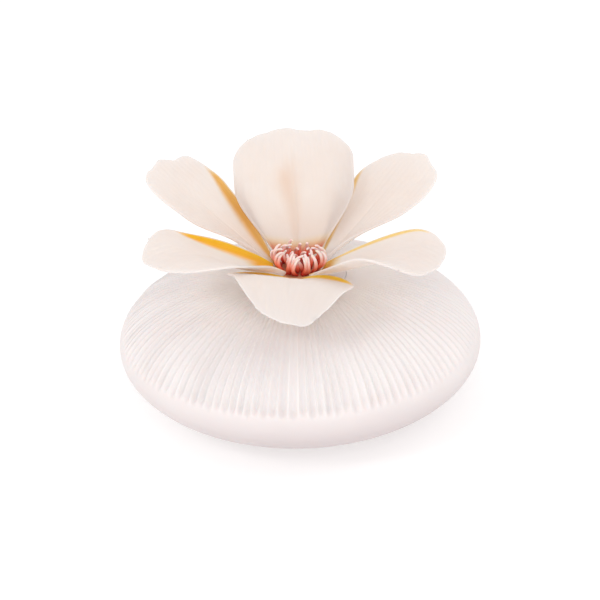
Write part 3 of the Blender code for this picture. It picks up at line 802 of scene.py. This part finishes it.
def build_petal(name, form, material):
    """One hand-formed petal: a slab that thins towards its rim."""
    lengthwise, crosswise = np.linspace(0.0, 1.0, PETAL_ROWS), np.linspace(-1.0, 1.0, PETAL_COLUMNS)
    along, across = np.meshgrid(lengthwise, crosswise, indexing="ij")
    upper = petal_points(form, along, across)
    thin = np.maximum(np.abs(across) ** RIM_THINS_ACROSS, along**RIM_THINS_ALONG)
    points, faces, origin, side = shell(upper, PETAL_THICKNESS * (1.0 - RIM_THINS * thin))
    piece = add_piece(name, points, faces, "flower", material)
    its_along, its_across = along[origin], across[origin]
    store(piece, "along", its_along)
    store(piece, "across", its_across)
    # Painted shade that darkens the tip.
    store(piece, "tip", TIP_PAINTED_SHADE * smoothstep(its_along, TIP_PAINTED_SHADE_FROM, 1.0))
    # The ochre painted shade in the curled margins and the throat.
    ochre_shade = painted_shade_colours(name, its_along, its_across, side)
    store(piece, "ochre_shade", ochre_shade, "FLOAT_COLOR", "color")
    # Painted shade beside the crease and at the root, where the petal's hollows are in shade.
    outwards = smoothstep(its_along, *CREASE_PAINTED_SHADE_DRIFTS)
    beside_crease = np.abs(its_across - CREASE_PAINTED_SHADE_SIDE - CREASE_PAINTED_SHADE_DRIFT * outwards) / CREASE_PAINTED_SHADE_WIDTH
    painted_hollow_shade = form["crease_painted_shade"] * np.exp(-(beside_crease**2))
    painted_hollow_shade *= CREASE_PAINTED_SHADE_INNER_SHARE + (1.0 - CREASE_PAINTED_SHADE_INNER_SHARE) * outwards
    painted_hollow_shade *= 1.0 - smoothstep(its_along, *CREASE_PAINTED_SHADE_ENDS)
    at_root = ROOT_PAINTED_SHADE.get(name, 0.0) * (1.0 - smoothstep(its_along, 0.0, ROOT_PAINTED_SHADE_END))
    store(piece, "painted_hollow_shade", np.maximum(painted_hollow_shade, at_root))


def smooth_path(path, steps):
    """Points evenly spaced along a smooth curve through the path's points."""
    dense = []
    for index in range(len(path) - 1):
        before = path[max(index - 1, 0)]
        start, end = path[index], path[index + 1]
        after = path[min(index + 2, len(path) - 1)]
        for share in np.linspace(0.0, 1.0, PATH_STEPS, endpoint=False):
            dense.append(
                0.5 * (2 * start + (end - before) * share
                       + (2 * before - 5 * start + 4 * end - after) * share**2
                       + (3 * start - before - 3 * end + after) * share**3)
            )
    dense = np.array([*dense, path[-1]])
    lengths = np.concatenate([[0.0], np.cumsum(np.linalg.norm(np.diff(dense, axis=0), axis=1))])
    wanted = np.linspace(0.0, lengths[-1], steps)
    return np.stack([np.interp(wanted, lengths, dense[:, axis]) for axis in range(dense.shape[1])], axis=1)


def tube(centres, radii, side_axis):
    """Points and faces of a closed tube with an oval section, and how far along it each point is."""
    tangents = unit(np.gradient(centres, axis=0))
    across = unit(side_axis - tangents * np.sum(tangents * side_axis, axis=1, keepdims=True))
    out = np.cross(tangents, across)
    angles = full_turn(STRAND_SIDES)[None, :, None]
    ring = (
        np.cos(angles) * across[:, None, :] * radii[:, None, None]
        + np.sin(angles) * out[:, None, :] * (radii * STRAND_FLATTEN)[:, None, None]
    )
    grid = centres[:, None, :] + ring
    points = grid.reshape(-1, 3).tolist()
    rings = number_rings(len(centres), STRAND_SIDES)
    faces = join_rings(rings) + [rings[0][::-1], rings[-1]]
    return points, faces, np.repeat(np.linspace(0.0, 1.0, len(centres)), STRAND_SIDES)


def build_strand(name, path, azimuth, draw, material):
    """One stamen: an oval strand that leans, sways and curls a little in its own way."""
    path = np.array(path, float)
    share = np.linspace(0.0, 1.0, len(path))
    path[:, 1] += draw.normal(0.0, STRAND_STRETCH) * (path[:, 1] - path[0, 1])
    path[:, 0] += draw.normal(0.0, STRAND_LEAN) * share
    path[:, 1] += draw.normal(0.0, STRAND_LEAN) * share
    sway = draw.normal(0.0, STRAND_SWAY) * share**STRAND_SWAY_POWER
    sway += draw.normal(0.0, STRAND_CURL) * np.sin(math.pi * share)
    if abs(math.cos(azimuth)) > OUTLIER_FROM and draw.random() < OUTLIER_SHARE:
        path[:, 0] += OUTLIER_REACH * smoothstep(share, *OUTLIER_RISES)
    outward = np.array([math.cos(azimuth), math.sin(azimuth), 0.0])
    sideways = np.array([-math.sin(azimuth), math.cos(azimuth), 0.0])
    curve = path[:, :1] * outward + sway[:, None] * sideways + path[:, 1:] * np.array([0.0, 0.0, 1.0])
    curve[:, 0] += CLUSTER_SHIFT + CLUSTER_LEAN * share
    centres = smooth_path(curve, STRAND_STEPS)
    place = np.linspace(0.0, 1.0, STRAND_STEPS)
    radii = STRAND_THICK_RADIUS * (1.0 - (1.0 - STRAND_TIP_SHARE) * place)
    radii *= 1.0 + STRAND_BULGE * np.sin(math.pi * place) + draw.normal(0.0, STRAND_SPREAD)
    past = ((place - STRAND_TIP_FROM) / STRAND_TIP_LENGTH).clip(0.0, None)
    radii *= np.sqrt(np.clip(1.0 - past**2, STRAND_TIP_LEAST, 1.0))
    points, faces, along = tube(centres, radii, sideways)
    piece = add_piece(name, points, faces, "flower", material)
    store(piece, "along", along)


def build_strands(nodes, material):
    draw = np.random.default_rng(STRAND_SEED)
    for kind, path in (("outer", OUTER_PATH), ("inner", INNER_PATH)):
        names = sorted(node for node in nodes if node.startswith(f"stamen_{kind}_"))
        for index, name in enumerate(names):
            azimuth = math.tau * (index + 0.5) / len(names)
            build_strand(name, path, azimuth, draw, material)


def build_receptacle(material):
    """The boss that the flower stands on, with a hollow peg; its top is dark red inside the rim."""
    low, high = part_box("receptacle")
    boss_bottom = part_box("stopper")[1].z + GAP
    corners = [
        (0.0, high.z),
        (high.x, high.z),
        (high.x, boss_bottom),
        (PEG_RADIUS, boss_bottom),
        (PEG_RADIUS, low.z),
        (PEG_BORE_RADIUS, low.z),
        (PEG_BORE_RADIUS, PEG_BORE_TOP),
        (0.0, PEG_BORE_TOP),
    ]
    profile = rounded(corners, EDGE_ROUNDING)
    piece = turned("receptacle", profile, "flower", material)
    places = np.array([vertex.co for vertex in piece.data.vertices])
    inside = 1.0 - smoothstep(np.hypot(places[:, 0], places[:, 1]), high.x - RED_INSET, high.x)
    store(piece, "red", inside * smoothstep(places[:, 2], high.z - RED_DEPTH, high.z))


def build_core(material):
    """The domed core, pebbled all over."""
    low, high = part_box("pistil_core")
    angles = np.linspace(math.pi / 2, 0.0, CORE_ROWS)[:, None]
    turn = full_turn(CORE_SIDES)[None, :]
    pebbles = PEBBLE_HEIGHT * np.sin(PEBBLES[0] * turn + PEBBLES[1] * angles)
    radii = high.x * np.cos(angles) * (1.0 + pebbles)
    radii[0] = 0.0
    heights = (low.z + (high.z - low.z) * np.sin(angles)) * np.ones((1, CORE_SIDES))
    radii = np.concatenate([radii, np.zeros((1, CORE_SIDES))])
    heights = np.concatenate([heights, np.full((1, CORE_SIDES), low.z)])
    points, faces = revolve(radii, heights)
    add_piece("pistil_core", points, faces, "flower", material)


# ---- materials


def start_material(name, roughness, **sockets):
    """A material with its plain values set on its Principled shader."""
    material = bpy.data.materials.new(name)
    material.use_nodes = True
    shader = material.node_tree.nodes["Principled BSDF"]
    shader.inputs["Roughness"].default_value = roughness
    for socket, value in sockets.items():
        shader.inputs[socket.replace("_", " ")].default_value = value
    return material, material.node_tree, shader


def noise(tree, scale, detail=3.0, coordinates=None):
    """A noise texture on the piece's own coordinates, in features to the metre."""
    if coordinates is None:
        coordinates = tree.nodes.new("ShaderNodeTexCoord").outputs["Object"]
    texture = tree.nodes.new("ShaderNodeTexNoise")
    texture.inputs["Scale"].default_value = scale
    texture.inputs["Detail"].default_value = detail
    tree.links.new(coordinates, texture.inputs["Vector"])
    return texture.outputs["Fac"]


def attribute(tree, name, output="Fac"):
    node = tree.nodes.new("ShaderNodeAttribute")
    node.attribute_name = name
    return node.outputs[output]


def ramp(tree, factor, stops):
    """A colour ramp through (place, colour) stops."""
    node = tree.nodes.new("ShaderNodeValToRGB")
    elements = node.color_ramp.elements
    while len(elements) < len(stops):
        elements.new(0.5)
    for element, (place, colour) in zip(elements, stops):
        element.position = place
        element.color = (*colour, 1.0)
    tree.links.new(factor, node.inputs["Fac"])
    return node.outputs["Color"]


def mix(tree, factor, first, second, kind="MIX"):
    """A colour mix; the factor and each colour may be an output or a plain value."""
    node = tree.nodes.new("ShaderNodeMix")
    node.data_type = "RGBA"
    node.blend_type = kind
    for socket, value in ((node.inputs[0], factor), (node.inputs[6], first), (node.inputs[7], second)):
        if isinstance(value, bpy.types.NodeSocket):
            tree.links.new(value, socket)
        elif isinstance(value, tuple):
            socket.default_value = (*value, 1.0)
        else:
            socket.default_value = value
    return node.outputs[2]


def paint(tree, shader, factor, stops):
    """The base colour, through (place, colour) stops."""
    tree.links.new(ramp(tree, factor, stops), shader.inputs["Base Color"])


def bump(tree, shader, height, distance, strength):
    """Fine relief, its height in metres."""
    node = tree.nodes.new("ShaderNodeBump")
    node.inputs["Distance"].default_value = distance
    node.inputs["Strength"].default_value = strength
    tree.links.new(height, node.inputs["Height"])
    tree.links.new(node.outputs["Normal"], shader.inputs["Normal"])


def varied_roughness(tree, shader, scale):
    """Roughness that wanders over the piece in the range of unglazed porcelain."""
    node = tree.nodes.new("ShaderNodeMapRange")
    node.inputs["To Min"].default_value, node.inputs["To Max"].default_value = PORCELAIN_ROUGHNESS
    tree.links.new(noise(tree, scale), node.inputs["Value"])
    tree.links.new(node.outputs["Result"], shader.inputs["Roughness"])


def porcelain(name, deep, light, glow, painted_shading):
    """Unglazed porcelain: soft mottling, a fine grain and a little light carried under the skin.

    Each entry in painted_shading is an attribute's name and the colour, of painted shade or painted light,
    that it turns the porcelain to.
    """
    material, tree, shader = start_material(
        name, 0.55, Subsurface_Weight=glow, Subsurface_Scale=0.003,
        Subsurface_Radius=(1.0, 0.72, 0.60), Specular_IOR_Level=0.35,
    )
    colour = ramp(tree, noise(tree, 45.0), [(0.35, deep), (0.65, light)])
    # Painted shade and painted light, each where its attribute says.
    for where, painted_colour in painted_shading:
        colour = mix(tree, attribute(tree, where), colour, painted_colour)
    tree.links.new(colour, shader.inputs["Base Color"])
    varied_roughness(tree, shader, 300.0)
    bump(tree, shader, noise(tree, 2600.0, 2.0), 0.00002, 0.5)
    return material


def flask_porcelain():
    # Painted shade below the belly and painted warm light round the neck.
    painted_shading = (("low", (0.645, 0.575, 0.575)), ("neck", (0.99, 0.94, 0.90)))
    return porcelain("flask_porcelain", (0.845, 0.795, 0.785), (0.87, 0.83, 0.82), 0.30, painted_shading)


def stopper_porcelain():
    return porcelain("turned_porcelain", (0.86, 0.80, 0.77), (0.90, 0.85, 0.82), 0.15, ())


def petal_porcelain():
    """Porcelain with painted shade in its curled margins and throat, beside its crease, at its root and
    towards its tip, and fine striations that run along the petal.
    """
    material, tree, shader = start_material(
        "petal_porcelain", 0.55, Subsurface_Weight=0.95, Subsurface_Scale=0.009,
        Subsurface_Radius=(1.0, 0.80, 0.68), Specular_IOR_Level=0.35,
    )
    body = ramp(tree, noise(tree, 60.0), [(0.35, (0.70, 0.60, 0.555)), (0.65, (0.725, 0.635, 0.59))])
    join = tree.nodes.new("ShaderNodeCombineXYZ")
    tree.links.new(attribute(tree, "across"), join.inputs[0])
    tree.links.new(attribute(tree, "along"), join.inputs[1])
    stretch = tree.nodes.new("ShaderNodeMapping")
    stretch.inputs["Scale"].default_value = (60.0, 2.5, 1.0)
    tree.links.new(join.outputs[0], stretch.inputs["Vector"])
    lines = noise(tree, 1.0, 2.0, stretch.outputs[0])
    streaks = ramp(tree, lines, [(0.3, (0.78, 0.78, 0.78)), (0.6, (1.0, 1.0, 1.0))])
    # The ochre painted shade of the curled margins and throat, streaked along the petal.
    ochre_shade = mix(tree, 0.5, attribute(tree, "ochre_shade", "Color"), streaks, "MULTIPLY")
    # Painted shade towards the tip.
    body = mix(tree, attribute(tree, "tip"), body, (0.64, 0.575, 0.55))
    # Painted shade beside the crease and at the root.
    body = mix(tree, attribute(tree, "painted_hollow_shade"), body, (0.62, 0.445, 0.37))
    colour = mix(tree, attribute(tree, "ochre_shade", "Alpha"), body, ochre_shade)
    tree.links.new(colour, shader.inputs["Base Color"])
    bump(tree, shader, lines, 0.00008, 0.6)
    varied_roughness(tree, shader, 400.0)
    return material


def strand_porcelain():
    """Coral at the foot of the strand, paler towards its tip."""
    material, tree, shader = start_material(
        "strand_porcelain", 0.5, Subsurface_Weight=0.25, Subsurface_Scale=0.001, Specular_IOR_Level=0.4
    )
    colour = ramp(
        tree, attribute(tree, "along"),
        [(0.0, (0.34, 0.010, 0.005)), (0.14, (0.64, 0.045, 0.02)), (0.32, (0.94, 0.19, 0.10)),
         (0.50, (1.0, 0.46, 0.36)), (0.74, (1.0, 0.85, 0.81))],
    )
    deeper = mix(tree, 1.0, colour, (0.90, 0.84, 0.84), "MULTIPLY")
    colour = mix(tree, noise(tree, 900.0), colour, deeper)
    tree.links.new(colour, shader.inputs["Base Color"])
    bump(tree, shader, noise(tree, 3000.0), 0.00003, 0.5)
    return material


def receptacle_porcelain():
    """Porcelain that is dark red where the strands stand."""
    material, tree, shader = start_material("receptacle_porcelain", 0.55)
    red = ramp(tree, noise(tree, 900.0), [(0.35, (0.28, 0.02, 0.015)), (0.7, (0.46, 0.05, 0.03))])
    pale = ramp(tree, noise(tree, 300.0), [(0.35, (0.66, 0.34, 0.16)), (0.7, (0.74, 0.44, 0.26))])
    tree.links.new(mix(tree, attribute(tree, "red"), pale, red), shader.inputs["Base Color"])
    bump(tree, shader, noise(tree, 2500.0), 0.00003, 0.6)
    return material


def core_porcelain():
    material, tree, shader = start_material("core_porcelain", 0.55)
    paint(tree, shader, noise(tree, 900.0), [(0.35, (0.28, 0.02, 0.015)), (0.7, (0.50, 0.07, 0.05))])
    bump(tree, shader, noise(tree, 2500.0), 0.00005, 0.6)
    return material


def silicone():
    material, tree, shader = start_material(
        "seal_silicone", 0.35, Subsurface_Weight=0.4, Subsurface_Scale=0.001
    )
    paint(tree, shader, noise(tree, 500.0), [(0.3, (0.66, 0.66, 0.64)), (0.7, (0.74, 0.74, 0.72))])
    bump(tree, shader, noise(tree, 4000.0), 0.00001, 0.4)
    return material


def sleeve_plastic():
    material, tree, shader = start_material("sleeve_plastic", 0.4)
    paint(tree, shader, noise(tree, 300.0), [(0.3, (0.76, 0.76, 0.73)), (0.7, (0.82, 0.82, 0.79))])
    bump(tree, shader, noise(tree, 5000.0), 0.00001, 0.5)
    return material


def cotton():
    """Twisted cotton: fine fibres that run round the rope."""
    material, tree, shader = start_material("wick_cotton", 0.95, Sheen_Weight=0.4, Sheen_Roughness=0.6)
    fibres = noise(tree, 4500.0, 4.0)
    paint(tree, shader, fibres, [(0.3, (0.70, 0.65, 0.55)), (0.65, (0.88, 0.85, 0.78))])
    bump(tree, shader, fibres, 0.0001, 0.8)
    return material


def felt():
    material, tree, shader = start_material("pad_felt", 0.98, Sheen_Weight=0.5, Sheen_Roughness=0.7)
    fibres = noise(tree, 5200.0, 6.0)
    paint(tree, shader, fibres, [(0.3, (0.48, 0.46, 0.43)), (0.7, (0.70, 0.68, 0.64))])
    bump(tree, shader, fibres, 0.0002, 0.9)
    return material


# ---- stage


def build_floor():
    """A wide pale floor, as bright as an overlit studio table."""
    mesh = bpy.data.meshes.new("floor")
    corners = [(x * FLOOR_REACH, y * FLOOR_REACH, 0.0) for x, y in ((-1, -1), (1, -1), (1, 1), (-1, 1))]
    mesh.from_pydata(corners, [], [(0, 1, 2, 3)])
    material = start_material(
        "floor_white", 0.9, Base_Color=(*FLOOR_COLOUR, 1.0), Emission_Color=(1.0, 1.0, 1.0, 1.0),
        Emission_Strength=FLOOR_GLOW, Specular_IOR_Level=0.0,
    )[0]
    mesh.materials.append(material)
    add_object("floor", mesh)


def add_softbox(name, place, size, power):
    """A square area lamp that faces the flower."""
    data = bpy.data.lights.new(name, "AREA")
    data.shape = "SQUARE"
    data.size = size
    data.energy = power
    lamp = add_object(name, data)
    lamp.location = place
    lamp.rotation_mode = "QUATERNION"
    lamp.rotation_quaternion = (Vector(SOFTBOX_TARGET) - Vector(place)).to_track_quat("-Z", "Y")


def build_lights():
    world = bpy.data.worlds.new("studio")
    bpy.context.scene.world = world
    world.use_nodes = True
    background = world.node_tree.nodes["Background"]
    background.inputs["Color"].default_value = (*WORLD_COLOUR, 1.0)
    background.inputs["Strength"].default_value = WORLD_STRENGTH
    for softbox in SOFTBOXES:
        add_softbox(*softbox)


def build_camera():
    data = bpy.data.cameras.new("camera")
    data.sensor_width = 36.0
    data.lens = CAMERA_LENS
    data.clip_start = 0.01
    camera = add_object("camera", data)
    elevation = math.radians(CAMERA_ELEVATION)
    away = Vector((0.0, -math.cos(elevation), math.sin(elevation)))
    camera.location = Vector((0.0, 0.0, BELLY_HEIGHT)) + away * CAMERA_DISTANCE
    look = Vector(CAMERA_AIM) - camera.location
    camera.rotation_mode = "QUATERNION"
    turn = Quaternion((0.0, 0.0, 1.0), math.radians(CAMERA_ROLL))
    camera.rotation_quaternion = look.to_track_quat("-Z", "Y") @ turn
    bpy.context.scene.camera = camera


def main(nodes):
    build_flask(flask_porcelain())
    build_pads(felt())
    build_stopper(stopper_porcelain())
    build_seals(silicone())
    build_sleeve(sleeve_plastic())
    build_wick(cotton())
    build_receptacle(receptacle_porcelain())
    build_core(core_porcelain())
    build_strands(nodes, strand_porcelain())
    petals = petal_porcelain()
    for name, own in PETALS.items():
        build_petal(name, {**DEFAULT_FORM, **own}, petals)
    build_floor()
    build_lights()
    build_camera()
    bpy.context.scene.view_settings.view_transform = "Standard"


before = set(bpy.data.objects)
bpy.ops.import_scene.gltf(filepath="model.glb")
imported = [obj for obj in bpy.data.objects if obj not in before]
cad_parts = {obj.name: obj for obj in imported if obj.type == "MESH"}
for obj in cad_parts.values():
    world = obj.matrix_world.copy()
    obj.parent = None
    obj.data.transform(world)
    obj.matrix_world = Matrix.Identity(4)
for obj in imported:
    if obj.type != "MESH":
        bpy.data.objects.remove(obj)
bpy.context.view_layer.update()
main(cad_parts)
